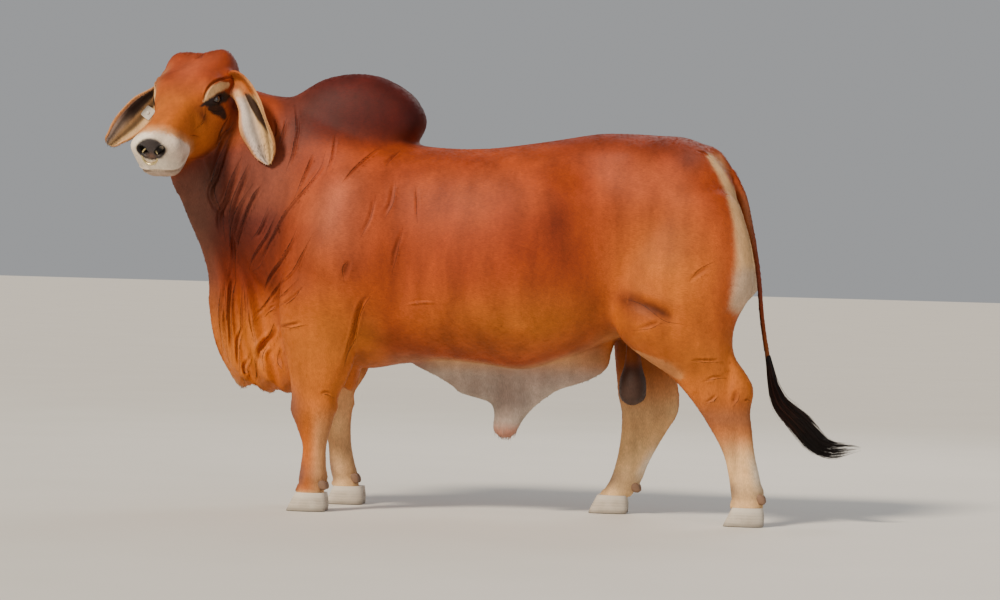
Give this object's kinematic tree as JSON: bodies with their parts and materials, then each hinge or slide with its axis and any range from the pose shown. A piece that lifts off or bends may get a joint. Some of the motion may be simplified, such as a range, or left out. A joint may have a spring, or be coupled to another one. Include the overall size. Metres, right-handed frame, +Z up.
{
  "type": "brahman bull model",
  "caption": "Life-size still model of a red Brahman bull, with a shoulder hump, a folded dewlap, long drooping ears and a nose ring, standing with its head turned.",
  "frame": {"origin": "middle of the bounding box, at the level of the soles", "axes": "+X from the head to the tail, +Z up; the left side faces -Y"},
  "size_m": [2.784, 0.847, 1.6918],
  "materials": {
    "coat": "short sleek red-brown hair",
    "muzzle_skin": "damp bare grey skin",
    "nose_ring": "polished, slightly worn",
    "eyes": "wet and glossy",
    "ear_tag": "plain pale plastic",
    "hooves": "pale grey horn with growth rings",
    "sheath_skin": "loose grey-white skin, tan at the tip",
    "scrotum_skin": "smooth grey-mauve skin",
    "switch_hair": "long black hair"
  },
  "bodies": {
    "root": {"barrel": "coat", "chest": "coat", "dewclaw_fore_left_inner": "hooves", "dewclaw_fore_left_outer": "hooves", "dewclaw_fore_right_inner": "hooves", "dewclaw_fore_right_outer": "hooves", "dewclaw_hind_left_inner": "hooves", "dewclaw_hind_left_outer": "hooves", "dewclaw_hind_right_inner": "hooves", "dewclaw_hind_right_outer": "hooves", "dewlap": "coat", "ear_left": "coat", "ear_right": "coat", "ear_tag": "ear_tag", "eye_left": "eyes", "eye_right": "eyes", "foreleg_left_lower": "coat", "foreleg_left_upper": "coat", "foreleg_right_lower": "coat", "foreleg_right_upper": "coat", "head": "coat", "hindleg_left_lower": "coat", "hindleg_left_upper": "coat", "hindleg_right_lower": "coat", "hindleg_right_upper": "coat", "hindquarters": "coat", "hoof_fore_left_inner": "hooves", "hoof_fore_left_outer": "hooves", "hoof_fore_right_inner": "hooves", "hoof_fore_right_outer": "hooves", "hoof_hind_left_inner": "hooves", "hoof_hind_left_outer": "hooves", "hoof_hind_right_inner": "hooves", "hoof_hind_right_outer": "hooves", "hump": "coat", "jaw": "coat", "neck": "coat", "nose_pad": "muzzle_skin", "nose_ring": "nose_ring", "scrotum": "scrotum_skin", "sheath": "sheath_skin", "tail_lower": "coat", "tail_switch": "switch_hair", "tail_upper": "coat"}
  },
  "joints": []
}
